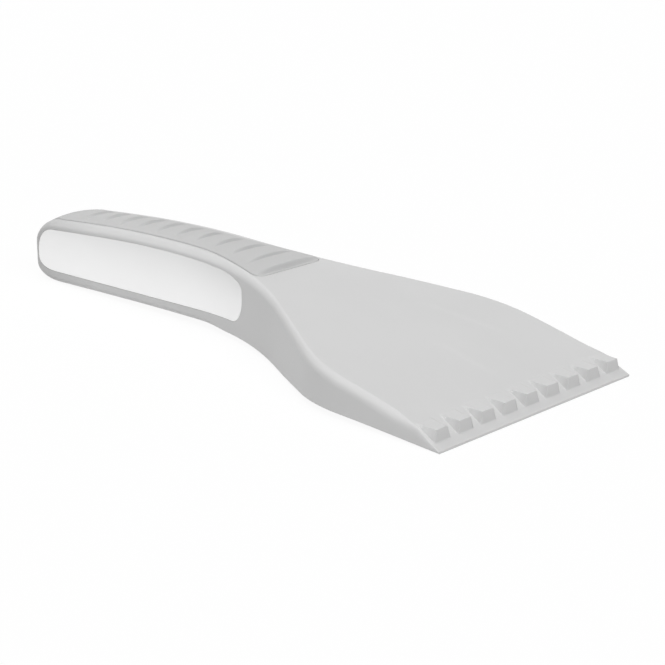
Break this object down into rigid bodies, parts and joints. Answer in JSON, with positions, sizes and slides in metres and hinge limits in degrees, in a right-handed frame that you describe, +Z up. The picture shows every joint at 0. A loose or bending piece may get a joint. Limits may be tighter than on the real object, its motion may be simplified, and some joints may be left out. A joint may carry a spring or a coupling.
{
  "type": "ice scraper",
  "caption": "Hand ice scraper: a wide toothed blade, open and ribbed underneath, that narrows into a handle with a soft ribbed grip pad and glossy flush side panels.",
  "frame": {"origin": "centre of the underside of the bounding box; the object rests on its lip and on the underside of its tail", "axes": "+X towards the scraping lip, +Y across the blade to the left of someone who looks along +X, +Z up out of the handle's back"},
  "size_m": [0.2444, 0.1, 0.0313],
  "materials": {
    "moulding": "satin light grey moulding",
    "grip_pad": "matte grey soft grip",
    "side_panel": "smooth glossy white"
  },
  "bodies": {
    "root": {"scraper_body": "moulding", "grip_pad": "grip_pad", "side_panel_left": "side_panel", "side_panel_right": "side_panel"}
  },
  "joints": []
}
